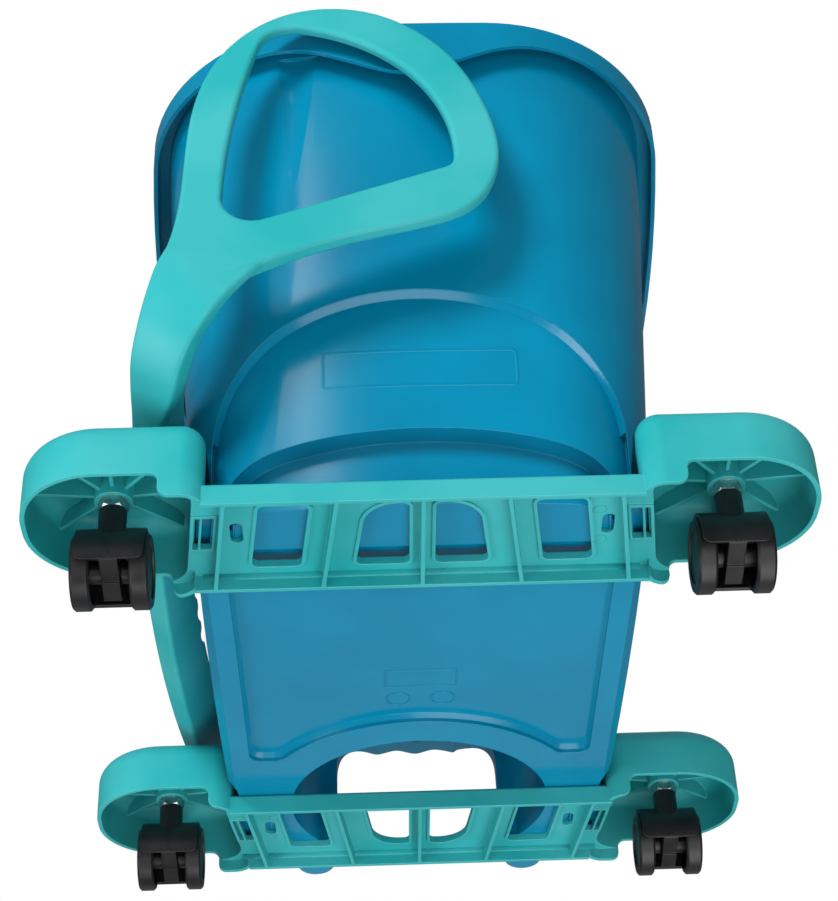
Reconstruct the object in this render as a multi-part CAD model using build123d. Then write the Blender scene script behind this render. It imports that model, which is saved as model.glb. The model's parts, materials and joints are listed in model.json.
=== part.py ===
import os
from math import acos, atan, atan2, cos, degrees, hypot, radians, sin

from build123d import *

# Wheeled mop bucket: a bucket clipped on two moulded axle carriers, with four twin-wheel
# swivel casters and a swinging bail handle. Millimetres, +X to the right, +Y to the rear,
# +Z up, origin on the floor under the middle.

# Overall sizes
carrier_length = 407.0  # over the two pods of a carrier
axle_spacing = 326.6  # between the centre lines of the two carriers
rim_height = 327.0  # floor to the top of the bucket

# Clearances
running_clearance = 0.05  # radial, at every pivot
fixed_clearance = 0.02  # radial, where a piece is held fast
swivel_gap = 0.3  # stem collar to caster neck
wheel_gap = 0.8  # wheel to hood
hub_gap = 0.35  # wheel hub to strut
sweep_gap = 0.6  # swinging caster to carrier
pod_side_gap = 4.5  # pod to bucket, across
pod_end_gap = 3.6  # pod to bucket, lengthwise
pod_roof_gap = 4.0  # pod to bucket, above
handle_gap = 6.0  # handle to rim apron
grip_rest_gap = 3.2  # folded grip to bucket wall
lug_end_gap = 0.6  # bucket lug to the end of its window
bar_gap = 0.4  # bucket foot to bar

# Caster
caster_trail = 12.0  # wheel axis behind the swivel axis
wheel_radius = 19.5
wheel_width = 9.8
wheel_edge_bevel = 1.2
wheel_rim_wall = 3.5
wheel_face_wall = 3.0
wheel_dish_depth = 1.0
wheel_dish_radius = 14.0
hub_radius = 6.0
caster_width = 39.5  # over both wheels
hood_width = 35.0
hood_wall = 2.0
hood_front_angle = 195.0  # about the wheel axis, from the rear
hood_rear_angle = -20.0
hood_corner_radius = 4.0
strut_width = 9.0
strut_front_drop = 5.5  # strut foot below the wheel axis, at the hood's front edge
strut_step_place = -5.4  # step across the strut's foot, along the caster
strut_step_drop = 9.1
strut_step_height = 0.9
strut_tail = 7.0
strut_tail_drop = 12.6
neck_radius = 7.25
neck_depth = 20.0
neck_rise = 6.4  # neck above the hood
axle_radius = 3.0
axle_inset = 2.4  # axle end below the wheel's outer face
collar_flats = 14.0
collar_height = 5.5
thread_radius = 4.0
thread_length = 13.5
thread_chamfer = 1.0
pin_length = 17.5
ring_height = 1.0
ring_wall = 1.1
ring_drop = 14.0  # ring below the collar
ring_opening = 60.0  # degrees
ring_groove_play = 0.3
insert_radius = 6.0
insert_length = 14.0
insert_flange = 1.4
insert_flange_height = 1.2

# Axle carrier
carrier_wall = 2.5
bar_depth = 79.0
bar_lip_height = 23.5
bar_edge_radius = 2.0
channel_depth = 9.5
web_thickness = 3.0
rib_thickness = 2.0
splay = 0.118  # sideways lean of ribs, windows and pod ends, per length across the bar
middle_rib = 47.1
end_rib = 103.0
window_outer = 25.0  # window edges from the bar's centre line
window_inner = 28.4
window_corner = 3.5
side_window_start = 59.4  # outboard window, on the centre line
side_window_end = 85.1
middle_window_start = 6.6  # inboard window
middle_window_end = 31.2
middle_window_sweep = 18.0
window_lip_height = 1.6
window_lip_width = 1.8
slot_x = 94.5
slot_length = 17.0
slot_width = 6.5
slot_offset = 0.5
pod_stem_inset = 46.0  # pod end to swivel axis
pod_reach = 45.7  # swivel axis to the pod's inner end, on the centre line
pod_depth = 92.0
pod_end_radius = 42.0
pod_inner_radius = 12.0
pod_height = 34.0  # lower edge to top
pod_top_radius = 11.5
pod_hollow_corner = 18.0
boss_cover = 5.0  # pod roof above the insert
neck_lip = 25.3
neck_overlap = 7.0  # neck past the pod hollow's inner face
rim_curve_radius = 5.0
boss_radius = 9.85
gusset_count = 8
gusset_thickness = 1.8
gusset_drop = 12.5  # ceiling to gusset foot at the boss
gusset_rise = 9.5  # ceiling to gusset foot at the pod wall
pad_drop = 1.0
pad_width = 13.0
pad_length = 31.0
pad_offset = 1.5
pad_slot_length = 27.0
pad_slot_wide = 6.0
pad_slot_narrow = 2.9
pad_land = 1.2
lug_window_width = 56.0
lug_window_height = 24.0

# Bucket
bucket_wall = 2.5
base_margin = 6.7  # bucket base beyond the pods' inner ends
base_overhang = 34.7  # bucket base beyond the carrier centre lines
side_flare = 30.0  # rim beyond the base
end_flare = 33.0
base_corner = 42.0
rim_corner = 100.0
base_side_bow = 3.0
rim_side_bow = 20.0
end_bow = 6.0
base_edge = 5.0  # chamfer round the base
apron_overhang = 9.0
apron_height = 14.0
flange_thickness = 3.0
bulge_drop = 39.0  # rim top to the lowest point of the apron
bulge_half_width = 92.0
notch_x = -48.0  # notch in the front apron's edge, left of the pivot
notch_width = 16.0
notch_drop = 21.5  # rim top to the notch's upper edge
pocket_corner = 22.0
pocket_roof_radius = 5.0
panel_half_width = 106.0
panel_spring = 70.0
panel_peak = 153.0
panel_depth = 5.0
toe_half_width = 99.0
toe_spring = 41.0
toe_peak = 72.0
toe_depth = 17.0
base_panel_margin = 16.0
base_panel_front = 144.0
base_panel_rear = 82.0
base_panel_corner = 8.0
base_panel_depth = 5.0
base_panel_edge = 2.5
base_panel_border = 23.0  # panel to grip recess
recess_radius = 80.0
recess_centre = 142.0
recess_roof = 114.0
recess_draft = 4.0
mouth_half_width = 52.5
mouth_top = 106.0
mouth_corner = 20.0
grip_lip_depth = 16.0
scallop_count = 4
scallop_pitch = 25.5
scallop_rise = 2.8
foot_x = 67.0
foot_radius = 12.5
foot_top_radius = 5.0
foot_reach = 14.0  # foot beyond the bar lip
foot_bottom = 24.0
foot_top = 98.0
foot_edge_radius = 4.0
lug_width = 44.0
lug_height = 8.0
lug_lift = 4.0  # above the bucket's base
flute_x = -65.0
flute_top = 309.0
flute_length = 140.0
flute_radius = 26.0
flute_depth = 6.0

# Bail handle
pivot_drop = 25.0  # rim top to the pivot
loop_back = 9.0  # loop beyond the pivot
leg_end = 214.0
leg_end_half_width = 13.5
grip_start = 228.0
grip_half_thickness = 7.0
window_back = 17.4  # loop window, from the pivot
window_upper_corner = 20.0
window_lower_corner = 8.0
window_tip_corner = 16.5
plate_thickness = 6.0
leg_flare = 5.0
bail_reach = 269.0
bail_shoulder = 244.0
grip_depth = 29.0
bail_corner = 50.0
bail_inner_corner = 40.0
finger_count = 4
finger_pitch = 24.0
finger_radius = 20.0
finger_depth = 3.0
handle_edge_radius = 2.4
stub_radius = 6.0
head_radius = 8.0
head_length = 4.5
head_gap = 0.4
head_slot = 2.5

# Places that follow from the sizes above
axle_y = axle_spacing / 2
stem_x = carrier_length / 2 - pod_stem_inset
pod_inner_x = stem_x - pod_reach
hood_radius = wheel_radius + wheel_gap + hood_wall
caster_height = wheel_radius + hood_radius + neck_rise + swivel_gap + collar_height
pod_top = caster_height + insert_length + boss_cover
pod_rim = pod_top - pod_height
sweep_radius = hypot(caster_trail + hood_radius, hood_width / 2)
cavity_inner_x = stem_x - (sweep_radius + sweep_gap) * hypot(1, splay)
web_underside = bar_lip_height + channel_depth
web_middle = web_underside + web_thickness / 2
base_height = web_underside + web_thickness
pod_ceiling = pod_top - carrier_wall
bar_half = bar_depth / 2
pod_half = pod_depth / 2
base_half_width = pod_inner_x + base_margin
base_half_length = axle_y + base_overhang
rim_half_width = base_half_width + side_flare
rim_half_length = base_half_length + end_flare
apron_half_length = rim_half_length + apron_overhang
end_slope = end_flare / (rim_height - base_height)
wall_draft = degrees(atan(end_slope))
pivot_height = rim_height - pivot_drop
side_slope = side_flare / (rim_height - base_height)
grip_reach = bail_reach - grip_depth
wall_at_pivot = base_half_width + side_slope * (pivot_height - base_height)

# The folded handle, below the horizontal: its grip's inner edge stands off the sloping wall
rest_along = grip_reach + side_slope * grip_half_thickness
rest_across = side_slope * grip_reach - grip_half_thickness
rest_reach = hypot(rest_along, rest_across)
rest_angle = degrees(atan2(rest_across, rest_along) + acos((wall_at_pivot + grip_rest_gap) / rest_reach))
far = 2 * carrier_length  # beyond the whole object


def box(x0, x1, y0, y1, z0, z1):
    """Box between two opposite corners."""
    middle = Pos((x0 + x1) / 2, (y0 + y1) / 2, (z0 + z1) / 2)
    return middle * Box(x1 - x0, y1 - y0, z1 - z0)


def upright(radius, z0, z1):
    """Cylinder about the Z axis between two heights."""
    return Pos(0, 0, (z0 + z1) / 2) * Cylinder(radius, z1 - z0)


def across(radius, x0, x1):
    """Cylinder about the X axis between two places."""
    return Pos((x0 + x1) / 2, 0, 0) * Rot(0, 90, 0) * Cylinder(radius, x1 - x0)


def prism(outline, z0, z1):
    """A plan outline raised from one height to another."""
    return extrude(Pos(0, 0, z0) * outline, z1 - z0, dir=(0, 0, 1))


def splayed(x0, x1, y0, y1):
    """Plan between two places on the centre line, with its sides splayed."""
    return Polygon(
        (x0 + splay * y0, y0),
        (x1 + splay * y0, y0),
        (x1 + splay * y1, y1),
        (x0 + splay * y1, y1),
        align=None,
    )


def both_sides(shape):
    """A shape together with its mirror image in X."""
    return shape + mirror(shape, Plane.YZ)


# Caster pieces, with the swivel axis on the Z axis and the floor at zero

collar_bottom = caster_height - collar_height
neck_top = collar_bottom - swivel_gap
ring_level = collar_bottom - ring_drop
groove_radius = thread_radius - ring_wall / 2
ring_inner = groove_radius + fixed_clearance
ring_outer = ring_inner + ring_wall
at_wheel_axis = Pos(0, caster_trail, wheel_radius)


def caster_stem():
    collar = prism(RegularPolygon(collar_flats / 2, 6, major_radius=False), collar_bottom, caster_height)
    collar = collar & Pos(0, 0, collar_bottom) * Cone(
        collar_flats / 2,
        collar_flats / 2 + collar_height,
        collar_height,
        align=(Align.CENTER, Align.CENTER, Align.MIN),
    )
    thread = upright(thread_radius, caster_height, caster_height + thread_length)
    thread = chamfer(thread.faces().sort_by(Axis.Z)[-1].edges(), thread_chamfer)
    pin = upright(thread_radius, collar_bottom - pin_length, collar_bottom)
    groove = upright(far, ring_level, ring_level + ring_height) - upright(groove_radius, 0, caster_height)
    return collar + thread + pin - groove


def caster_insert():
    top = caster_height + insert_length
    body = upright(insert_radius, caster_height, top)
    flange = upright(insert_radius + insert_flange, caster_height, caster_height + insert_flange_height)
    bore = upright(thread_radius + fixed_clearance, caster_height, top)
    return body + flange - bore


def caster_ring():
    outline = Circle(ring_outer) - Circle(ring_inner)
    half_gap = radians(ring_opening / 2)
    reach = 2 * ring_outer
    gap = Polygon(
        (0, 0),
        (reach * cos(half_gap), -reach * sin(half_gap)),
        (reach * cos(half_gap), reach * sin(half_gap)),
        align=None,
    )
    return prism(outline - gap, ring_level, ring_level + ring_height)


def hood_outline():
    """Section of the hood about the wheel axis: local x to the rear, local y up."""
    span = hood_front_angle - hood_rear_angle
    outer = CenterArc((0, 0), hood_radius, hood_rear_angle, span)
    inner = CenterArc((0, 0), hood_radius - hood_wall, hood_rear_angle, span)
    ends = [Line(outer @ 0, inner @ 0), Line(outer @ 1, inner @ 1)]
    return make_face([outer, inner] + ends)


def caster_body():
    hood = extrude(Plane.YZ * hood_outline(), hood_width / 2, both=True)
    hood = fillet(hood.edges().filter_by(lambda e: e.length < 1.2 * hood_wall), hood_corner_radius)
    foot = Polygon(
        (-hood_radius, -strut_front_drop),
        (strut_step_place, -strut_step_drop),
        (strut_step_place, -strut_step_drop - strut_step_height),
        (strut_tail, -strut_tail_drop),
        (hood_radius, 0),
        (hood_radius, hood_radius),
        (-hood_radius, hood_radius),
        align=None,
    )
    half = strut_width / 2
    strut = extrude(Plane.YZ * foot, half, both=True) & across(hood_radius - hood_wall / 2, -half, half)
    frame = at_wheel_axis * (hood + strut)
    neck = upright(neck_radius, neck_top - neck_depth, neck_top)
    bore_bottom = collar_bottom - pin_length - swivel_gap
    bore = upright(thread_radius + running_clearance, bore_bottom, caster_height)
    ring_room = upright(
        ring_outer + ring_groove_play,
        ring_level - ring_groove_play,
        ring_level + ring_height + ring_groove_play,
    )
    axle_hole = at_wheel_axis * across(axle_radius + fixed_clearance, -strut_width, strut_width)
    return frame + neck - bore - ring_room - axle_hole


def caster_axle():
    half = caster_width / 2 - axle_inset
    return at_wheel_axis * across(axle_radius, -half, half)


def caster_wheel(side):
    """One wheel, on the left (-1) or right (+1) of the strut."""
    outer = caster_width / 2
    inner = outer - wheel_width
    wheel = across(wheel_radius, inner, outer)
    rims = wheel.edges().filter_by(GeomType.CIRCLE)
    wheel = chamfer(rims, wheel_edge_bevel)
    hollow = across(wheel_radius - wheel_rim_wall, inner - 1, outer - wheel_face_wall)
    hub = across(hub_radius, strut_width / 2 + hub_gap, outer - wheel_face_wall / 2)
    dish = across(wheel_dish_radius, outer - wheel_dish_depth, outer + 1)
    bore = across(axle_radius + running_clearance, 0, outer - axle_inset + running_clearance)
    wheel = wheel - hollow + hub - dish - bore
    return at_wheel_axis * (wheel if side > 0 else mirror(wheel, Plane.YZ))


# Axle carrier, with its centre line on the X axis and its outer side towards -Y


def pod_plan(inset, inner_x, inner_radius):
    """Plan of a pod, or of its hollow, with a splayed inner end."""
    x1 = carrier_length / 2 - inset
    half = pod_half - inset
    shift = splay * half
    plan = Polygon((inner_x - shift, -half), (x1, -half), (x1, half), (inner_x + shift, half), align=None)
    plan = fillet([v for v in plan.vertices() if v.X > stem_x], pod_end_radius - inset)
    return fillet([v for v in plan.vertices() if v.X < stem_x], inner_radius)


def pod_hollow(inset):
    plan = pod_plan(inset, cavity_inner_x + carrier_wall - inset, pod_hollow_corner - inset)
    hollow = prism(plan, neck_lip - 1, pod_top - inset)
    return fillet(hollow.faces().sort_by(Axis.Z)[-1].edges(), pod_top_radius - inset)


def rim_cut():
    """Space under a pod's raised lower edge, with its S-shaped step down to the neck."""
    r = rim_curve_radius
    x0 = cavity_inner_x + neck_overlap
    low = Line((x0, neck_lip - far), (x0, neck_lip))
    first = JernArc((x0, neck_lip), (1, 0), r, 90)
    rise = Line(first @ 1, (x0 + r, pod_rim - r))
    second = JernArc(rise @ 1, (0, 1), r, -90)
    top = Line(second @ 1, (far, pod_rim))
    close = Polyline(top @ 1, (far, neck_lip - far), (x0, neck_lip - far))
    outline = make_face([low, first, rise, second, top, close])
    return extrude(Plane.XZ * outline, far, both=True)


def gussets():
    """Radial ribs round a stem boss, joining it to the pod's ceiling and walls."""
    reach = pod_stem_inset
    outline = Polygon(
        (0, pod_ceiling - gusset_drop),
        (boss_radius, pod_ceiling - gusset_drop),
        (reach, pod_ceiling - gusset_rise),
        (reach, pod_top),
        (0, pod_top),
        align=None,
    )
    rib = extrude(Plane.XZ * outline, gusset_thickness / 2, both=True)
    ribs = [Rot(0, 0, i * 360 / gusset_count) * rib for i in range(gusset_count)]
    return Pos(stem_x, 0, 0) * (ribs[0] + ribs[1:])


def pod():
    """The pod on the right-hand end of a carrier, with its neck and stem boss."""
    shell = prism(pod_plan(0, pod_inner_x, pod_inner_radius), neck_lip, pod_top)
    shell = fillet(shell.faces().sort_by(Axis.Z)[-1].edges(), pod_top_radius)
    under = pod_plan(carrier_wall, pod_inner_x + carrier_wall, pod_inner_radius - carrier_wall)
    shell = shell - pod_hollow(carrier_wall) - prism(under, neck_lip - 1, web_underside)
    at_stem = Pos(stem_x, 0, 0)
    boss = at_stem * upright(boss_radius, caster_height, pod_top - carrier_wall / 2)
    shell = shell + boss + (gussets() & pod_hollow(carrier_wall / 2))
    seat = upright(insert_radius + fixed_clearance, caster_height - 1, caster_height + insert_length)
    rebate = upright(
        insert_radius + insert_flange + fixed_clearance,
        caster_height - 1,
        caster_height + insert_flange_height,
    )
    half = lug_window_width / 2
    lug_room = splayed(pod_inner_x - 1, cavity_inner_x - carrier_wall, -half, half)
    lug_room = prism(lug_room, base_height, base_height + lug_window_height)
    return shell - at_stem * (seat + rebate) - lug_room - rim_cut()


def lightening_windows(grow):
    """Plan of the two openings in the right-hand half of the bar."""
    v0 = -window_outer - grow
    v1 = window_inner + grow
    x0 = middle_window_start - grow
    x1 = middle_window_end + grow
    outboard = splayed(side_window_start - grow, side_window_end + grow, v0, v1)
    outboard = fillet(outboard.vertices(), window_corner + grow)
    inboard = Polygon((x0, v0), (x1 + splay * v0, v0), (x1 + splay * v1, v1), (x0, v1), align=None)
    swept = inboard.vertices().sort_by_distance(Vertex(x1 + splay * v0, v0, 0))
    inboard = fillet(swept[0], middle_window_sweep + grow)
    inboard = fillet(inboard.vertices().sort_by_distance(Vertex(0, v0, 0))[0], window_corner + grow)
    inboard = fillet(inboard.vertices().group_by(Axis.Y)[-1], window_corner + grow)
    return outboard + inboard


def cross_rib(x):
    """Thin splayed rib across the channel."""
    half = rib_thickness / 2
    reach = bar_half - carrier_wall / 2
    return prism(splayed(x - half, x + half, -reach, reach), bar_lip_height, web_middle)


def neck_pad():
    """Raised pad under a neck, round the two slots above the bucket's lug."""
    y0 = -pad_offset - pad_length / 2
    plan = splayed(cavity_inner_x - pad_width, cavity_inner_x, y0, y0 + pad_length)
    return prism(plan, web_underside - pad_drop, web_middle)


def neck_slots():
    """Plan of the wide and the narrow slot through a neck's pad."""
    x0 = cavity_inner_x - pad_width + pad_land
    x1 = x0 + pad_slot_wide + pad_land
    y0 = -pad_offset - pad_slot_length / 2
    y1 = y0 + pad_slot_length
    return splayed(x0, x0 + pad_slot_wide, y0, y1) + splayed(x1, x1 + pad_slot_narrow, y0, y1)


def axle_carrier():
    bar_end = pod_inner_x + carrier_wall
    outer_end = bar_end - splay * bar_half
    inner_end = bar_end + splay * bar_half
    bar = Polygon(
        (-outer_end, -bar_half),
        (outer_end, -bar_half),
        (inner_end, bar_half),
        (-inner_end, bar_half),
        align=None,
    )
    bar = prism(bar, bar_lip_height, base_height)
    bar = fillet(bar.edges().filter_by(Axis.X).group_by(Axis.Z)[-1], bar_edge_radius)
    inside = bar_half - carrier_wall
    channel = box(-cavity_inner_x, cavity_inner_x, -inside, inside, 0, web_underside)
    body = both_sides(pod()) + bar - channel
    lips = prism(lightening_windows(window_lip_width), web_underside - window_lip_height, web_middle)
    body = body + both_sides(lips + cross_rib(middle_rib) + cross_rib(end_rib) + neck_pad())
    half = rib_thickness / 2
    reach = bar_half - carrier_wall / 2
    body = body + box(-half, half, -reach, reach, bar_lip_height, web_middle)
    oval = Pos(slot_x, -slot_offset) * Rot(0, 0, 90) * SlotOverall(slot_length, slot_width)
    openings = prism(lightening_windows(0) + oval + neck_slots(), 0, base_height + 1)
    return body - both_sides(openings)


# Bucket


def bowed_outline(half_width, half_length, side_bow, corner):
    """Rounded rectangle whose sides and ends bow outwards."""
    cx = half_width - side_bow
    cy = half_length - end_bow
    sides = [
        ThreePointArc((cx, -cy), (half_width, 0), (cx, cy)),
        ThreePointArc((cx, cy), (0, half_length), (-cx, cy)),
        ThreePointArc((-cx, cy), (-half_width, 0), (-cx, -cy)),
        ThreePointArc((-cx, -cy), (0, -half_length), (cx, -cy)),
    ]
    outline = make_face(sides)
    return fillet(outline.vertices(), corner)


def rim_outline(grow):
    """Plan of the bucket's wall at the rim, made larger all round."""
    return bowed_outline(rim_half_width + grow, rim_half_length + grow, rim_side_bow, rim_corner + grow)


def tub(inset):
    """The bucket's flared body, drawn in by the inset all round."""
    base = bowed_outline(
        base_half_width - inset, base_half_length - inset, base_side_bow, base_corner - inset
    )
    return loft([Pos(0, 0, base_height) * base, Pos(0, 0, rim_height) * rim_outline(-inset)], ruled=True)


def corner_pockets(grow):
    """Room for the four pods, under a roof just above them."""
    lean = atan(splay)
    wall = pod_inner_x * cos(lean) + axle_y * sin(lean) - pod_side_gap - grow
    radius = pocket_corner - grow
    yc = base_half_length - pocket_corner
    xc = (wall - radius - yc * sin(lean)) / cos(lean)
    y0 = axle_y - pod_half - pod_end_gap - grow
    x0 = (wall - y0 * sin(lean)) / cos(lean)
    arc = CenterArc((xc, yc), radius, 90, degrees(lean) - 90)
    path = Polyline(arc @ 1, (x0, y0), (far, y0), (far, far), (xc, far), arc @ 0)
    plan = make_face([arc, path])
    plan = fillet(plan.vertices().sort_by_distance(Vertex(x0, y0, 0))[0], pocket_roof_radius + grow)
    top = pod_top + pod_roof_gap + grow
    plan = Pos(0, 0, base_height) * plan
    tool = extrude(plan, top - base_height, taper=wall_draft)
    tool = both_sides(tool)
    return tool + mirror(tool, Plane.XZ)


def front_arch(half_width, spring, peak, depth, grow):
    """Arched panel let into the front wall, with its bed parallel to the wall."""
    top = Pos(0, spring) * Ellipse(half_width + grow, peak - spring + grow)
    legs = Pos(0, spring / 2) * Rectangle(2 * (half_width + grow), spring)
    corner_start = base_half_length - base_corner
    block = extrude(Plane.XZ.offset(corner_start) * (top + legs), far)
    return block - tub(depth + grow)


def grip_mouth(grow):
    """Outline of the opening in the rear wall, scalloped for the fingers along its top."""
    half = mouth_half_width + grow
    shoulder = mouth_top - mouth_corner
    points = []
    for i in range(1, 2 * scallop_count):
        x = (i - scallop_count) * scallop_pitch / 2
        points.append((x, mouth_top + grow + scallop_rise * (i % 2)))
    wave = Spline(*points, tangents=((1, 0), (1, 0)))
    last, crest = points[-1]
    left = Bezier((-half, shoulder), (-half, crest), (-last, crest))
    right = Bezier((last, crest), (half, crest), (half, shoulder))
    return make_face([left, wave, right, Polyline(right @ 1, (half, 0), (-half, 0), left @ 0)])


def grip_recess(grow):
    """Pocket under the rear of the bucket for the hand that tips it out."""
    plan = Pos(0, recess_centre) * Circle(recess_radius + grow)
    pocket = extrude(Pos(0, 0, base_height) * plan, recess_roof + grow - base_height, taper=recess_draft)
    lip_y = base_half_length + end_slope * (mouth_top - base_height) - grip_lip_depth
    pocket = pocket & box(-far, far, 0, lip_y + grow, 0, far)
    mouth = extrude(Plane.XZ * grip_mouth(grow), -far)
    return pocket + (mouth & box(-far, far, recess_centre, far, 0, far))


def base_panel(grow):
    """Shallow panel in the underside, drawn round the grip recess."""
    length = base_panel_front + base_panel_rear + 2 * grow
    middle = Pos(0, (base_panel_rear - base_panel_front) / 2)
    plan = middle * Rectangle(2 * (base_half_width - base_panel_margin + grow), length)
    plan = plan - Pos(0, recess_centre) * Circle(recess_radius + base_panel_border - grow)
    plan = fillet(plan.vertices(), base_panel_corner)
    panel = prism(plan, base_height, base_height + base_panel_depth + grow)
    return chamfer(panel.faces().sort_by(Axis.Z)[-1].edges(), base_panel_edge)


def pouring_flute(grow):
    """Fan-shaped valley in the upper front wall, fading out downwards."""
    length = flute_length + grow
    top_radius = flute_radius * length / flute_length + grow
    cone = Cone(grow + 0.1, top_radius, length, align=(Align.CENTER, Align.CENTER, Align.MIN))
    lean = wall_draft + degrees(atan(flute_radius / flute_length) - atan(flute_depth / flute_length))
    foot = flute_top - flute_length * cos(radians(lean))
    wall_y = -base_half_length - end_slope * (foot - base_height)
    return Pos(flute_x, wall_y, foot) * Rot(lean, 0, 0) * cone


def bucket_hollows(grow):
    """Everything that the outer form steps in by; the inner form follows a wall behind."""
    panel = front_arch(panel_half_width, panel_spring, panel_peak, panel_depth, grow)
    toe = front_arch(toe_half_width, toe_spring, toe_peak, toe_depth, grow)
    return corner_pockets(grow) + panel + toe + grip_recess(grow) + base_panel(grow) + pouring_flute(grow)


def apron():
    """Rim flange and the skirt that hangs from it, deeper round the two pivots."""
    outer = rim_outline(apron_overhang)
    inner = rim_outline(apron_overhang - bucket_wall)
    mouth = rim_outline(-bucket_wall)
    lowest = rim_height - bulge_drop
    edge = rim_height - apron_height
    skirt = prism(outer - inner, lowest - 1, rim_height)
    curve = Spline(
        (-bulge_half_width, edge), (0, lowest), (bulge_half_width, edge), tangents=((1, 0), (1, 0))
    )
    below = Polyline(curve @ 1, (far, edge), (far, 0), (-far, 0), (-far, edge), curve @ 0)
    skirt = skirt - extrude(Plane.XZ * make_face([curve, below]), far, both=True)
    skirt = skirt - box(notch_x - notch_width, notch_x, -far, 0, 0, rim_height - notch_drop)
    hole = Pos(0, 0, pivot_height) * Rot(90, 0, 0) * Cylinder(stub_radius + running_clearance, 2 * far)
    return skirt - hole + prism(outer - mouth, rim_height - flange_thickness, rim_height)


def bucket_feet():
    """Rounded feet each side of the grip mouth, hanging behind the rear bar."""
    bar_edge = axle_y + bar_half + bar_gap
    centre = bar_edge + foot_reach - foot_radius
    height = foot_top - foot_bottom
    foot = Cone(foot_radius, foot_top_radius, height, align=(Align.CENTER, Align.CENTER, Align.MIN))
    foot = fillet(foot.edges().filter_by(GeomType.CIRCLE), foot_edge_radius)
    foot = Pos(foot_x, centre, foot_bottom) * foot
    foot = foot - box(-far, far, 0, bar_edge, 0, base_height + running_clearance)
    return both_sides(foot)


def bucket_lugs():
    """Tongues that reach through the pods' inner ends and lock the carriers on."""
    x0 = pod_inner_x - pod_side_gap - bucket_wall / 2
    x1 = cavity_inner_x - carrier_wall - lug_end_gap
    bottom = base_height + lug_lift
    lug = prism(splayed(x0, x1, -lug_width / 2, lug_width / 2), bottom, bottom + lug_height)
    pair = Pos(0, -axle_y, 0) * both_sides(lug)
    return pair + mirror(pair, Plane.XZ)


def bucket_shell():
    outer = tub(0)
    outer = chamfer(outer.faces().sort_by(Axis.Z)[0].edges(), base_edge)
    inner = tub(bucket_wall) & box(-far, far, -far, far, base_height + bucket_wall, far)
    inner = chamfer(inner.faces().sort_by(Axis.Z)[0].edges(), base_edge - (2 - 2**0.5) * bucket_wall)
    outer = outer - bucket_hollows(0)
    inner = inner - bucket_hollows(bucket_wall)
    return outer + bucket_feet() + bucket_lugs() - inner + apron()


# Bail handle, upright with its pivot at the origin: x across the bail, z towards the grip


def bail_front():
    """The handle seen along the pivot axis: lopsided loop, leg and the end of the grip."""
    loop = Spline(
        (leg_end_half_width, leg_end),
        (31.7, 168.6),
        (62.1, 117),
        (77.3, 70.5),
        (65.4, 18),
        (29, -loop_back + 2),
        (4, -loop_back),
        (-22, -loop_back + 5.5),
        (-65.6, 23.5),
        (-94, 59.5),
        (-96.5, 91),
        (-84.3, 110.5),
        (-56.6, 142.3),
        (-32.8, 176.7),
        (-leg_end_half_width, leg_end),
    )
    half = grip_half_thickness
    top = bail_reach + 1
    leg = Polyline(loop @ 1, (-half, grip_start), (-half, top), (half, top), (half, grip_start), loop @ 0)
    return make_face([loop, leg])


def loop_window():
    """The opening in each loop: an arc round the pivot, a bowed upper side and a straight lower side."""
    upper = (69.6, 33.4)
    lower = (-73.6, 70.2)
    tip = (1, 175.8)
    outline = make_face(
        [
            ThreePointArc(upper, (15.4, window_back), lower),
            Line(lower, tip),
            ThreePointArc(tip, (43, 103.9), upper),
        ]
    )
    for corner, radius in (
        (upper, window_upper_corner),
        (lower, window_lower_corner),
        (tip, window_tip_corner),
    ):
        outline = fillet(outline.vertices().sort_by_distance(Vertex(*corner, 0))[0], radius)
    return outline


def bail_side():
    """The handle seen from the side: two legs joined by the arched grip."""
    plate_y = apron_half_length + handle_gap
    outer_y = plate_y + plate_thickness
    tip_y = outer_y + leg_flare
    low = -2 * loop_back
    over = ThreePointArc((-tip_y, bail_shoulder), (0, bail_reach), (tip_y, bail_shoulder))
    outer = make_face([over, Polyline(over @ 1, (outer_y, low), (-outer_y, low), over @ 0)])
    outer = fillet(outer.vertices().group_by(Axis.Y)[-1], bail_corner)
    low_shoulder = bail_shoulder - grip_depth
    under = ThreePointArc((-plate_y, low_shoulder), (0, bail_reach - grip_depth), (plate_y, low_shoulder))
    inner = make_face([under, Polyline(under @ 1, (plate_y, 2 * low), (-plate_y, 2 * low), under @ 0)])
    inner = fillet(inner.vertices().group_by(Axis.Y)[-1], bail_inner_corner)
    return outer - inner


def pivot_stub():
    """Moulded pivot on the front plate, with a split snap head behind the apron."""
    plate_y = apron_half_length + handle_gap
    head_start = apron_half_length - bucket_wall - head_gap
    along = Rot(90, 0, 0)
    root = plate_y + plate_thickness / 2
    tip = head_start - head_length
    stub = Pos(0, -(root + tip) / 2, 0) * along * Cylinder(stub_radius, root - tip)
    head = Pos(0, -head_start + head_length / 2, 0) * along * Cylinder(head_radius, head_length)
    slot = box(-head_slot / 2, head_slot / 2, -head_start - 1, -head_start + far, -far, far)
    return stub + head - slot


def finger_rests():
    """Cutters for the shallow finger rests along the grip's inner edge."""
    level = bail_reach - grip_depth + finger_depth - finger_radius
    start = -(finger_count - 1) * finger_pitch / 2
    rest = across(finger_radius, -far, far)
    rests = [Pos(0, start + i * finger_pitch, level) * rest for i in range(finger_count)]
    return rests[0] + rests[1:]


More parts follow.
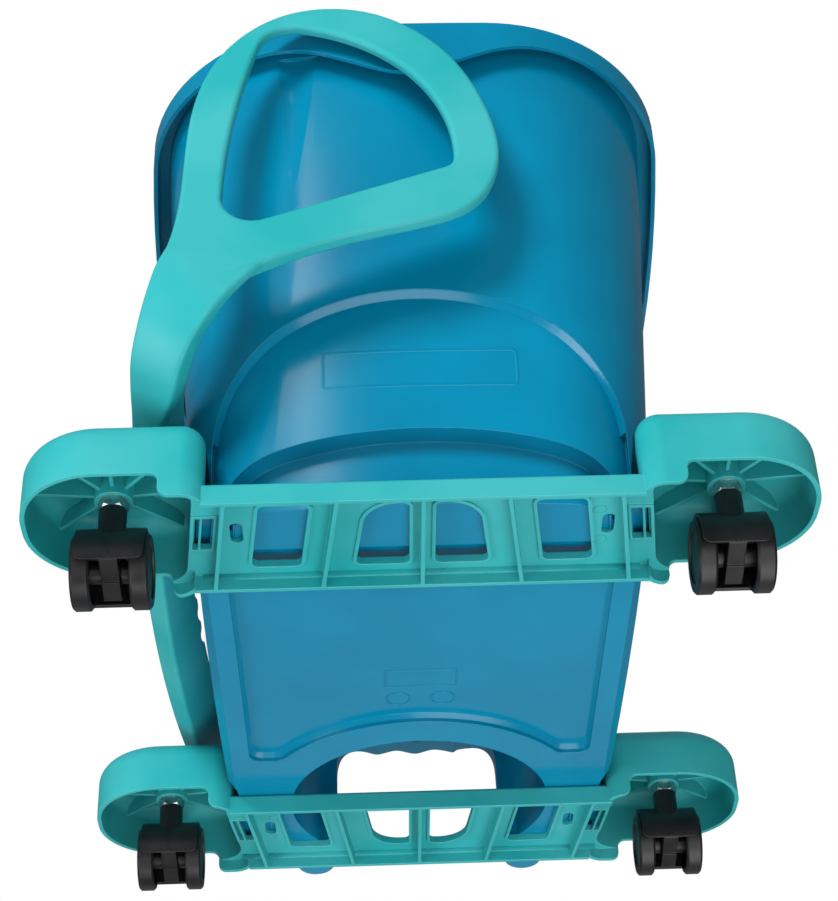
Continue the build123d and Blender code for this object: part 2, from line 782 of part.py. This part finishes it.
def bail_handle():
    span = apron_half_length + handle_gap + plate_thickness + leg_flare + 1
    loop = extrude(Plane.XZ * bail_front(), span, both=True)
    band = extrude(Plane.YZ * bail_side(), far, both=True)
    bail = (loop & band) - extrude(Plane.XZ * loop_window(), span, both=True)
    bail = fillet(bail.edges(), handle_edge_radius) - finger_rests()
    stub = pivot_stub()
    bail = bail + stub + mirror(stub, Plane.XZ)
    return Pos(0, 0, pivot_height) * Rot(0, -90 - rest_angle, 0) * bail


carrier = axle_carrier()
nodes = {
    "bucket_shell": bucket_shell(),
    "front_axle_carrier": Pos(0, -axle_y, 0) * carrier,
    "rear_axle_carrier": Pos(0, axle_y, 0) * Rot(0, 0, 180) * carrier,
    "bail_handle": bail_handle(),
}
caster_pieces = {
    "insert": caster_insert(),
    "stem": caster_stem(),
    "retaining_ring": caster_ring(),
    "body": caster_body(),
    "axle": caster_axle(),
    "left_wheel": caster_wheel(-1),
    "right_wheel": caster_wheel(1),
}
for end, end_y in (("front", -axle_y), ("rear", axle_y)):
    for side, side_x in (("left", -stem_x), ("right", stem_x)):
        for name, piece in caster_pieces.items():
            nodes[f"{end}_{side}_caster_{name}"] = Pos(side_x, end_y, 0) * piece

os.makedirs("parts", exist_ok=True)
for name, piece in nodes.items():
    export_step(piece, f"parts/{name}.step")
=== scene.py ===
import json
from math import cos, pi, radians, sin

import bmesh
import bpy
from mathutils import Matrix, Vector
from mathutils.bvhtree import BVHTree


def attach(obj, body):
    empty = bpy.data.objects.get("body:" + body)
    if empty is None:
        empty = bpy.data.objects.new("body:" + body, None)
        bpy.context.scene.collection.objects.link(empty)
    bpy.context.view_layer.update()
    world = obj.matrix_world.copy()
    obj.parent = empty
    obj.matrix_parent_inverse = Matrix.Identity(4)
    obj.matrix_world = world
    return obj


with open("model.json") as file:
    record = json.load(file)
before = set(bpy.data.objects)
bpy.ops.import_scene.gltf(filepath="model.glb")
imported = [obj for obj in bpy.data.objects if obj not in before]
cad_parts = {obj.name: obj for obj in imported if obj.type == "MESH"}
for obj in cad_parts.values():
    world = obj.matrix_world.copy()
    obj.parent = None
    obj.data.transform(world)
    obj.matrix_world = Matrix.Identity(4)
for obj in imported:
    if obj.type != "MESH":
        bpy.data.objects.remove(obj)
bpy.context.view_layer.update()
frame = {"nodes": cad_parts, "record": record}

nodes = frame["nodes"]

# Sizes in metres and angles in degrees, unless a comment says otherwise
mm = 0.001
up = Vector((0, 0, 1))
rearward = Vector((0, 1, 0))

# The part, as in the CAD
axle_y = 163.3 * mm
stem_x = 157.5 * mm
axle_height = 19.5 * mm
caster_trail = 12.0 * mm
web_underside = 33.0 * mm
base_height = 36.0 * mm
channel_half = 37.0 * mm  # bar's centre line to the inner face of its walls
pivot_height = 302 * mm
rest_angle = radians(56.06)  # folded handle, below the horizontal
arch_half_width = 106 * mm
arch_spring = 70 * mm
arch_rise = 83 * mm

# Raised lines
bead_sink = 0.3 * mm
bead_sides = 6  # flats on a bead's round
corner_points = 5  # steps round an outline's corner
border_side_points = 12
ahead = 0.4  # in front of everything, where rays to the front wall start

# Slanted edge of the arched front panel
arch_slope_width = 2.6 * mm
arch_start = 4  # where the arch goes behind the carrier
arch_points = 96
arch_outside = 0.4 * mm  # from the arch's edge to where the wall is touched
arch_proud = 0.05 * mm
arch_root = 1 * mm  # depth behind the panel's bed

# Wide strap round the handle's bends, in the handle's own frame
bend_centre = Vector((206.2, 202.35)) * mm
bend_radius = 50 * mm
bend_angle = radians(80.76)
strap_rounding = 2.4 * mm
strap_steps = 4
corner_steps = 4
# Along the outside from the start of the bend: distance, upper edge, lower edge, thickness, lift (mm)
strap_rows = (
    (-36, 26.0, -31.0, 5.0, -2.4),
    (-24, 23.0, -30.0, 5.2, -1.3),
    (-10, 19.0, -28.2, 6.0, -0.35),
    (0, 17.0, -27.0, 7.0, 0.0),
    (8.8, 15.4, -26.2, 8.0, 0.2),
    (17.6, 13.2, -25.2, 9.5, 0.4),
    (26.4, 11.2, -24.2, 11.0, 0.4),
    (35.2, 9.6, -23.0, 12.0, 0.4),
    (44.0, 8.4, -22.4, 13.0, 0.4),
    (52.9, 7.8, -21.7, 14.0, 0.4),
    (61.7, 7.5, -21.0, 14.0, 0.4),
    (70.5, 7.4, -19.7, 14.0, 0.3),
    (85.0, 7.2, -16.0, 13.0, 0.2),
    (99.0, 6.8, -11.0, 12.0, -0.4),
    (113.0, 6.2, -7.0, 11.0, -1.2),
    (123.0, 5.6, -5.6, 10.0, -2.2),
)

# Studio
image_height_px = 901
camera_focal_px = 2055.2
camera_sensor = 36.0  # millimetres along the image's long side
camera_place = (-0.0271, -1.0203, -0.5632)
camera_pitch = 37.0  # upwards: the camera looks at the underside
camera_roll = 2.542
camera_yaw = 1.806
floor_size = 8.0
floor_fade = 0.40  # distance from the middle where the floor starts to fade
floor_clear = 0.85
fill_light = 0.35
mirror_axis = (0, -0.94, 0.34)
# Brightness that reflections find along that axis, from the lower back (0) to the upper front (1)
mirror_levels = ((0.0, 0.36), (0.06, 0.25), (0.12, 0.10), (0.55, 0.06))
middle = (0, 0, 0.16)
streak_place = (-0.06, -0.2, 0.1)  # on the front panel

# Colours, linear
turquoise = (0.045, 0.430, 0.450)
turquoise_shade = (0.015, 0.380, 0.400)
# Lighter edge colour on the turquoise: partly rubbed wear, partly a painted highlight on the rims
turquoise_edge_wear_highlight = (0.110, 0.600, 0.600)
blue = (0.000585, 0.234, 0.4036)
blue_shade = (0.000585, 0.2012, 0.3533)
# Lighter edge colour on the bucket: partly rubbed wear, partly a painted highlight
blue_edge_wear_highlight = (0.030, 0.300, 0.440)
black = (0.00735, 0.0077, 0.00875)
black_worn = (0.0144, 0.0144, 0.0156)
# Lighter edge colour on the nylon: partly rubbed wear, partly a painted highlight
black_edge_wear_highlight = (0.0252, 0.0252, 0.027)
steel = (0.56, 0.57, 0.58)
brass = (0.60, 0.42, 0.16)
floor_white = (0.86, 0.86, 0.86)

# Finishes
plastic_ior = 1.43
plastic_edge = 0.7 * mm  # radius that the shading gives to an edge
handle_edge = 0.9 * mm
metal_edge = 0.4 * mm
edge_samples = 8
edge_flat = 0.97  # cosine of the turn where the lighter edge starts: rubbed wear and a painted highlight
# cosine of the turn where the edge is fully lightened, wear and painted highlight alike
edge_worn_highlit = 0.72
worn_metal = 0.8  # brightness of dulled metal


def new_material(name):
    """A material with a plain shader and its surface output."""
    material = bpy.data.materials.new(name)
    material.use_nodes = True
    tree = material.node_tree
    tree.nodes.clear()
    output = tree.nodes.new("ShaderNodeOutputMaterial")
    shader = tree.nodes.new("ShaderNodeBsdfPrincipled")
    tree.links.new(shader.outputs["BSDF"], output.inputs["Surface"])
    return material, tree, shader


def noise(tree, scale, detail=3.0, roughness=0.5, stretch=(1, 1, 1)):
    """Noise in the object's own coordinates, in waves per metre."""
    place = tree.nodes.new("ShaderNodeTexCoord")
    mapping = tree.nodes.new("ShaderNodeMapping")
    mapping.inputs["Scale"].default_value = stretch
    texture = tree.nodes.new("ShaderNodeTexNoise")
    texture.inputs["Scale"].default_value = scale
    texture.inputs["Detail"].default_value = detail
    texture.inputs["Roughness"].default_value = roughness
    tree.links.new(place.outputs["Object"], mapping.inputs["Vector"])
    tree.links.new(mapping.outputs["Vector"], texture.inputs["Vector"])
    return texture.outputs["Fac"]


def ramp(tree, value, low, high, at=(0.35, 0.65)):
    """Colour ramp between two colours."""
    node = tree.nodes.new("ShaderNodeValToRGB")
    for stop, position, colour in zip(node.color_ramp.elements, at, (low, high)):
        stop.position = position
        stop.color = (*colour, 1)
    tree.links.new(value, node.inputs["Fac"])
    return node.outputs["Color"]


def span(tree, value, low, high):
    """Value moved from 0..1 to another range."""
    node = tree.nodes.new("ShaderNodeMapRange")
    node.inputs["To Min"].default_value = low
    node.inputs["To Max"].default_value = high
    tree.links.new(value, node.inputs["Value"])
    return node.outputs["Result"]


def bump(tree, shader, value, strength, distance):
    """Fine grain on the shader's normal."""
    node = tree.nodes.new("ShaderNodeBump")
    node.inputs["Strength"].default_value = strength
    node.inputs["Distance"].default_value = distance
    tree.links.new(value, node.inputs["Height"])
    tree.links.new(node.outputs["Normal"], shader.inputs["Normal"])
    return node


def round_edges(tree, grain, radius):
    """Softens the moulded edges in the shading, under the grain."""
    node = tree.nodes.new("ShaderNodeBevel")
    node.samples = edge_samples
    node.inputs["Radius"].default_value = radius
    tree.links.new(node.outputs["Normal"], grain.inputs["Normal"])
    return node.outputs["Normal"]


def edge_mask(tree, soft_normal):
    """0 on flat places, 1 on the edges, from how far the softened normal turns."""
    face = tree.nodes.new("ShaderNodeNewGeometry")
    turn = tree.nodes.new("ShaderNodeVectorMath")
    turn.operation = "DOT_PRODUCT"
    tree.links.new(face.outputs["Normal"], turn.inputs[0])
    tree.links.new(soft_normal, turn.inputs[1])
    mask = tree.nodes.new("ShaderNodeMapRange")
    mask.inputs["From Min"].default_value = edge_flat
    mask.inputs["From Max"].default_value = edge_worn_highlit
    tree.links.new(turn.outputs["Value"], mask.inputs["Value"])
    return mask.outputs["Result"]


def mix_colour(tree, mask, base, over):
    """One colour laid over another where the mask says."""
    node = tree.nodes.new("ShaderNodeMix")
    node.data_type = "RGBA"
    factor, first, second = node.inputs[0], node.inputs[6], node.inputs[7]  # the colour sockets
    second.default_value = (*over, 1)
    tree.links.new(mask, factor)
    tree.links.new(base, first)
    return node.outputs[2]


def worn_highlit_finish(tree, shader, colour, grain, edge_radius, edge_colour):
    """Colour with lighter edges, partly rubbed wear and partly a painted highlight, over softened edges
    and a fine grain.
    """
    soft = round_edges(tree, grain, edge_radius)
    # edge colour laid where the shading normal turns: rubbed wear and a painted highlight
    worn = mix_colour(tree, edge_mask(tree, soft), colour, edge_colour)
    tree.links.new(worn, shader.inputs["Base Color"])


def moulded_plastic(name, tones, edge_colour, roughness, edge_radius):
    """Polypropylene: cloudy flow marks, faint draw lines, a fine mould grain and softened edges, with
    lighter edges that are partly wear, partly a painted highlight.
    """
    material, tree, shader = new_material(name)
    streaks = noise(tree, 9, 4, 0.6, (9, 9, 1))
    tree.links.new(span(tree, streaks, *roughness), shader.inputs["Roughness"])
    shader.inputs["IOR"].default_value = plastic_ior
    grain = bump(tree, shader, noise(tree, 1400, 2), 0.02, 0.3 * mm)
    clouds = ramp(tree, noise(tree, 14, 4), *tones)
    worn_highlit_finish(tree, shader, clouds, grain, edge_radius, edge_colour)
    return material


def nylon(name):
    """Black nylon with a dusty, slightly worn surface; its lighter edges are partly wear, partly a
    painted highlight.
    """
    material, tree, shader = new_material(name)
    tree.links.new(span(tree, noise(tree, 160, 4), 0.30, 0.48), shader.inputs["Roughness"])
    grain = bump(tree, shader, noise(tree, 2600, 2), 0.10, 0.3 * mm)
    dust = ramp(tree, noise(tree, 90, 6, 0.6), black, black_worn)
    worn_highlit_finish(tree, shader, dust, grain, plastic_edge, black_edge_wear_highlight)
    return material


def plated_metal(name, colour):
    """Metal with dull patches and softened edges."""
    material, tree, shader = new_material(name)
    worn = tuple(worn_metal * c for c in colour)
    tree.links.new(ramp(tree, noise(tree, 220, 5), worn, colour), shader.inputs["Base Color"])
    tree.links.new(span(tree, noise(tree, 400, 4), 0.20, 0.38), shader.inputs["Roughness"])
    shader.inputs["Metallic"].default_value = 1.0
    grain = bump(tree, shader, noise(tree, 3000, 2), 0.08, 0.2 * mm)
    round_edges(tree, grain, metal_edge)
    return material


def turquoise_plastic(name, roughness):
    """The carriers' and the handle's plastic."""
    return moulded_plastic(name, (turquoise_shade, turquoise), turquoise_edge_wear_highlight, roughness, handle_edge)


materials = {
    "bucket_plastic": moulded_plastic(
        "bucket_plastic", (blue_shade, blue), blue_edge_wear_highlight, (0.12, 0.20), plastic_edge
    ),
    "carrier_plastic": turquoise_plastic("carrier_plastic", (0.38, 0.50)),
    "handle_plastic": turquoise_plastic("handle_plastic", (0.40, 0.52)),
    "caster_plastic": nylon("caster_plastic"),
    "wheel_plastic": nylon("wheel_plastic"),
    "stem_steel": plated_metal("stem_steel", steel),
    "insert_brass": plated_metal("insert_brass", brass),
}
for part in frame["record"]["subparts"]:
    slots = nodes[part["node"]].data.materials
    slots.clear()
    slots.append(materials[part["material_slot"]])


def surface_of(node):
    """Search tree over a CAD node's surface."""
    mesh = nodes[node].data
    corners = [v.co.copy() for v in mesh.vertices]
    return BVHTree.FromPolygons(corners, [tuple(p.vertices) for p in mesh.polygons])


def add_piece(name, corners, faces, body, slot, smooth=True):
    """A mesh piece that rides on a body."""
    mesh = bpy.data.meshes.new(name)
    mesh.from_pydata(corners, [], faces)
    mesh.validate()
    shape = bmesh.new()
    shape.from_mesh(mesh)
    bmesh.ops.recalc_face_normals(shape, faces=shape.faces)
    shape.to_mesh(mesh)
    shape.free()
    for face in mesh.polygons:
        face.use_smooth = smooth
    mesh.materials.append(materials[slot])
    piece = bpy.data.objects.new(name, mesh)
    bpy.context.scene.collection.objects.link(piece)
    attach(piece, body)


def tube_faces(count, ring, closed=False):
    """Faces over rings of corners, one after another, with ends unless the tube is closed."""
    faces = []
    for i in range(count if closed else count - 1):
        a, b = i * ring, (i + 1) % count * ring
        for k in range(ring):
            n = (k + 1) % ring
            faces.append((a + k, a + n, b + n, b + k))
    if not closed:
        last = (count - 1) * ring
        faces += [tuple(reversed(range(ring))), tuple(range(last, last + ring))]
    return faces


def bead(name, path, width, height, body, slot, closed=False):
    """Half-round raised line along (point, surface normal) pairs, sunk a little into the surface."""
    count = len(path)
    arc = [pi - pi * k / bead_sides for k in range(bead_sides + 1)]
    corners = []
    for i, (point, normal) in enumerate(path):
        before = path[(i - 1) % count if closed else max(i - 1, 0)][0]
        after = path[(i + 1) % count if closed else min(i + 1, count - 1)][0]
        side = (after - before).cross(normal).normalized() * (width / 2)
        for angle in arc:
            corners.append(point + side * cos(angle) + normal * (height * sin(angle)))
        for edge in (1, -1):
            corners.append(point + side * edge - normal * bead_sink)
    add_piece(name, corners, tube_faces(count, len(arc) + 2, closed), body, slot)


def laid(surface, starts, direction):
    """Points thrown on a surface along a direction, each with the normal that looks back."""
    path = []
    for start in starts:
        place, normal, _, _ = surface.ray_cast(start, direction)
        path.append((place, normal if normal.dot(direction) < 0 else -normal))
    return path


def rounded_rectangle(half_width, half_height, radius):
    """Closed outline with rounded corners, with points along its sides too."""
    points = []
    for quarter in range(4):
        turn = Matrix.Rotation(quarter * pi / 2, 2)
        sizes = (half_width, half_height)
        wide, high = sizes if quarter % 2 == 0 else sizes[::-1]
        centre = Vector((wide - radius, high - radius))
        for k in range(corner_points + 1):
            angle = pi / 2 * k / corner_points
            points.append(turn @ (centre + radius * Vector((cos(angle), sin(angle)))))
        side = 2 * (wide - radius)
        for k in range(1, border_side_points):
            points.append(turn @ Vector((wide - radius - side * k / border_side_points, high)))
    return points


def circle(radius, count=40):
    """Closed round outline."""
    angles = [2 * pi * k / count for k in range(count)]
    return [radius * Vector((cos(a), sin(a))) for a in angles]


def bucket_marks():
    """Plain moulded borders and rings where the wall and the base carry them."""
    shell = surface_of("bucket_shell")

    def mark(name, starts, direction, width, height):
        path = laid(shell, starts, direction)
        bead(name, path, width, height, "bucket_frame", "bucket_plastic", closed=True)

    outline = rounded_rectangle(50 * mm, 10.5 * mm, 2 * mm)
    starts = [Vector((p.x + 1.2 * mm, -ahead, p.y + 107.9 * mm)) for p in outline]
    mark("front_border", starts, rearward, 1.6 * mm, 0.16 * mm)
    outline = rounded_rectangle(20.5 * mm, 8.8 * mm, 0.8 * mm)
    starts = [Vector((p.x, p.y - 2.5 * mm, 0)) for p in outline]
    mark("base_border", starts, up, 0.8 * mm, 0.45 * mm)
    for name, x in (("base_ring_left", -13 * mm), ("base_ring_right", 13 * mm)):
        starts = [Vector((p.x + x, p.y + 20 * mm, 0)) for p in circle(6.8 * mm)]
        mark(name, starts, up, 0.9 * mm, 0.5 * mm)


def arch_slope():
    """Slanted edge round the arched front panel, from the wall down to the panel's bed."""
    shell = surface_of("bucket_shell")
    proud = arch_proud * rearward
    corners = []
    for k in range(arch_points + 1):
        angle = radians(arch_start + (180 - 2 * arch_start) * k / arch_points)
        out = Vector((cos(angle), 0, sin(angle)))
        edge = Vector((arch_half_width * out.x, -ahead, arch_spring + arch_rise * out.z))
        starts = [edge + arch_outside * out, edge - arch_slope_width * out]
        (wall, _), (bed, _) = laid(shell, starts, rearward)
        corners += [wall - proud, bed - proud, Vector((wall.x, bed.y + arch_root, wall.z))]
    faces = tube_faces(arch_points + 1, 3)
    add_piece("front_panel_slope", corners, faces, "bucket_frame", "bucket_plastic", smooth=False)


def between(rows, steps):
    """Rows joined by a smooth curve, with a few steps from each to the next."""
    last = len(rows) - 1
    smooth = []
    for k in range(last):
        around = [rows[min(max(i, 0), last)] for i in range(k - 1, k + 3)]
        for s in range(steps):
            t = s / steps
            row = []
            for p, q, r, o in zip(*around):
                bend = 2 * p - 5 * q + 4 * r - o + t * (3 * (q - r) + o - p)
                row.append(q + t / 2 * (r - p + t * bend))
            smooth.append(row)
    return smooth + [list(rows[-1])]


def bend_place(distance):
    """Point and outward direction on the outside of the bend, in the side view."""
    turn = min(max(distance / bend_radius, 0), bend_angle)
    out = Vector((cos(turn), sin(turn)))
    along = Vector((-sin(turn), cos(turn)))
    return bend_centre + bend_radius * out + (distance - turn * bend_radius) * along, out


def strap_section(width, depth):
    """Round-cornered section of the strap, as (across, deep) pairs."""
    points = []
    for quarter, (x, y) in enumerate(((1, 1), (-1, 1), (-1, -1), (1, -1))):
        for k in range(corner_steps + 1):
            angle = pi / 2 * (quarter + k / corner_steps)
            across = (width / 2 - strap_rounding) * x + strap_rounding * cos(angle)
            deep = (depth / 2 - strap_rounding) * y + strap_rounding * sin(angle)
            points.append((across, deep))
    return points


def handle_strap(name, end):
    """Wide strap that carries the handle's leg round its bend into the grip."""
    sideways = Vector((-sin(rest_angle), 0, cos(rest_angle)))
    down = Vector((-cos(rest_angle), 0, -sin(rest_angle)))
    rows = between(strap_rows, strap_steps)
    corners = []
    for row in rows:
        distance, upper, lower, thickness, lift = (value * mm for value in row)
        place, out = bend_place(distance)
        section = strap_section(upper - lower, thickness)
        for across, deep in section:
            side = place + (lift - thickness / 2 + deep) * out
            level = Vector((0, end * side.x, pivot_height)) + side.y * down
            corners.append(level + ((upper + lower) / 2 + across) * sideways)
    add_piece(name, corners, tube_faces(len(rows), len(section)), "handle", "handle_plastic")


def carrier_details(name, turn):
    """Moulded rings, the slots' ribs and the stepped channel walls; the rear carrier is turned round."""
    web = surface_of(name)
    bar = Vector((0, -axle_y, 0))
    for i, (x, y) in enumerate(((89.3 * mm, -13.3 * mm), (91.2 * mm, 13.0 * mm))):
        starts = [turn @ (bar + Vector((p.x + x, p.y + y, 0))) for p in circle(3.2 * mm, 28)]
        path = laid(web, starts, up)
        bead(f"{name}_ring_{i}", path, 0.7 * mm, 0.4 * mm, "bucket_frame", "carrier_plastic", closed=True)
    for side in (-1, 1):
        rib = []
        for y in (-6.0 * mm, 7.0 * mm):
            x = side * (95.9 * mm + 0.08 * y)
            rib.append((turn @ (bar + Vector((x, y, base_height))), -up))
        bead(f"{name}_slot_rib_{side + 1}", rib, 1.5 * mm, 2.2 * mm, "bucket_frame", "bucket_plastic")
        step = []
        for x in (-114, -60, 0, 60, 114):
            place = bar + Vector((x * mm, side * channel_half, web_underside))
            step.append((turn @ place, -up))
        bead(f"{name}_wall_step_{side + 1}", step, 1.6 * mm, 3.4 * mm, "bucket_frame", "carrier_plastic")


def hood_line(position, x, y):
    """Mould line down the front of a caster's hood."""
    body = surface_of(f"{position}_caster_body")
    axle = Vector((x, y + caster_trail, axle_height))
    path = []
    for angle in range(194, 148, -3):
        out = Vector((0, cos(radians(angle)), sin(radians(angle))))
        path += laid(body, [axle + 60 * mm * out], -out)
    bead(f"{position}_hood_line", path, 0.5 * mm, 0.2 * mm, f"{position}_caster", "caster_plastic")


bucket_marks()
arch_slope()
handle_strap("handle_front_strap", -1)
handle_strap("handle_rear_strap", 1)
carrier_details("front_axle_carrier", Matrix.Identity(3))
carrier_details("rear_axle_carrier", Matrix.Rotation(pi, 3, "Z"))
for end, y in (("front", -axle_y), ("rear", axle_y)):
    for side, x in (("left", -stem_x), ("right", stem_x)):
        hood_line(f"{end}_{side}", x, y)


def studio_floor():
    """Pale floor that fades out round the object and shows only from above."""
    bpy.ops.mesh.primitive_plane_add(size=floor_size)
    floor = bpy.context.object
    floor.name = "studio_floor"
    material, tree, shader = new_material("studio_floor")
    shader.inputs["Base Color"].default_value = (*floor_white, 1)
    shader.inputs["Roughness"].default_value = 0.9
    shader.inputs["Specular IOR Level"].default_value = 0.1
    path = tree.nodes.new("ShaderNodeLightPath")
    face = tree.nodes.new("ShaderNodeNewGeometry")
    above = tree.nodes.new("ShaderNodeMath")
    above.operation = "SUBTRACT"
    above.use_clamp = True
    tree.links.new(path.outputs["Is Camera Ray"], above.inputs[0])
    tree.links.new(face.outputs["Backfacing"], above.inputs[1])
    place = tree.nodes.new("ShaderNodeTexCoord")
    away = tree.nodes.new("ShaderNodeVectorMath")
    away.operation = "LENGTH"
    tree.links.new(place.outputs["Object"], away.inputs[0])
    near = tree.nodes.new("ShaderNodeMapRange")
    near.interpolation_type = "SMOOTHSTEP"
    near.inputs["From Min"].default_value = floor_clear
    near.inputs["From Max"].default_value = floor_fade
    tree.links.new(away.outputs["Value"], near.inputs["Value"])
    shown = tree.nodes.new("ShaderNodeMath")
    shown.operation = "MULTIPLY"
    tree.links.new(above.outputs["Value"], shown.inputs[0])
    tree.links.new(near.outputs["Result"], shown.inputs[1])
    clear = tree.nodes.new("ShaderNodeBsdfTransparent")
    mix = tree.nodes.new("ShaderNodeMixShader")
    tree.links.new(shown.outputs["Value"], mix.inputs["Fac"])
    tree.links.new(clear.outputs["BSDF"], mix.inputs[1])
    tree.links.new(shader.outputs["BSDF"], mix.inputs[2])
    output = next(n for n in tree.nodes if n.type == "OUTPUT_MATERIAL")
    tree.links.new(mix.outputs["Shader"], output.inputs["Surface"])
    floor.data.materials.append(material)


def studio_world():
    """White surroundings, dimmer as light than as background; reflections find the front dark."""
    world = bpy.data.worlds.new("studio")
    bpy.context.scene.world = world
    world.use_nodes = True
    tree = world.node_tree
    tree.nodes.clear()
    output = tree.nodes.new("ShaderNodeOutputWorld")
    place = tree.nodes.new("ShaderNodeTexCoord")
    toward = tree.nodes.new("ShaderNodeVectorMath")
    toward.operation = "DOT_PRODUCT"
    toward.inputs[1].default_value = mirror_axis
    tree.links.new(place.outputs["Generated"], toward.inputs[0])
    level = tree.nodes.new("ShaderNodeMapRange")
    level.inputs["From Min"].default_value = -1.0
    tree.links.new(toward.outputs["Value"], level.inputs["Value"])
    dim = tree.nodes.new("ShaderNodeValToRGB")
    stops = dim.color_ramp.elements
    while len(stops) < len(mirror_levels):
        stops.new(1.0)
    for stop, (position, grey) in zip(stops, mirror_levels):
        stop.position = position
        stop.color = (grey, grey, grey, 1)
    tree.links.new(level.outputs["Result"], dim.inputs["Fac"])
    path = tree.nodes.new("ShaderNodeLightPath")

    def background(strength):
        node = tree.nodes.new("ShaderNodeBackground")
        node.inputs["Color"].default_value = (1, 1, 1, 1)
        node.inputs["Strength"].default_value = strength
        return node

    def choose(ray, otherwise, when):
        node = tree.nodes.new("ShaderNodeMixShader")
        tree.links.new(path.outputs[ray], node.inputs["Fac"])
        tree.links.new(otherwise, node.inputs[1])
        tree.links.new(when, node.inputs[2])
        return node.outputs["Shader"]

    mirrored = background(1.0)
    tree.links.new(dim.outputs["Color"], mirrored.inputs["Color"])
    fill = background(fill_light).outputs["Background"]
    light = choose("Is Glossy Ray", fill, mirrored.outputs["Background"])
    seen = choose("Is Camera Ray", light, background(1.0).outputs["Background"])
    tree.links.new(seen, output.inputs["Surface"])


def softbox(name, place, power, size, height=None, aim=middle, mirrored=True):
    """Area light turned towards a point, square unless a height is given."""
    data = bpy.data.lights.new(name, "AREA")
    data.shape = "RECTANGLE"
    data.size = size
    data.size_y = height or size
    data.energy = power
    lamp = bpy.data.objects.new(name, data)
    bpy.context.scene.collection.objects.link(lamp)
    lamp.location = place
    lamp.rotation_euler = (Vector(aim) - Vector(place)).to_track_quat("-Z", "Y").to_euler()
    lamp.visible_glossy = mirrored


def photo_camera():
    """Camera fitted to the photo."""
    data = bpy.data.cameras.new("photo_camera")
    data.sensor_width = camera_sensor
    data.lens = camera_sensor * camera_focal_px / image_height_px
    camera = bpy.data.objects.new("photo_camera", data)
    bpy.context.scene.collection.objects.link(camera)
    turn = Matrix.Rotation(radians(-camera_yaw), 4, "Z")
    lift = Matrix.Rotation(radians(90 + camera_pitch), 4, "X")
    roll = Matrix.Rotation(radians(-camera_roll), 4, "Z")
    camera.matrix_world = Matrix.Translation(camera_place) @ turn @ lift @ roll
    bpy.context.scene.camera = camera


studio_floor()
studio_world()
softbox("upper_light", (-0.75, -1.7, 0.85), 27, 0.6, mirrored=False)
softbox("front_light", (0.35, -1.7, -0.9), 7.5, 1.2)
softbox("under_light", (0.4, -0.3, -1.5), 17, 1.4)
softbox("left_light", (-1.4, -0.6, -0.8), 11, 0.8)
softbox("strip_light", (-0.26, -1.6, 0.85), 0.9, 0.09, height=0.5, aim=streak_place)
softbox("top_light", (0.6, 0.5, 2.0), 14, 1.6, mirrored=False)
photo_camera()
bpy.context.scene.view_settings.view_transform = "Standard"
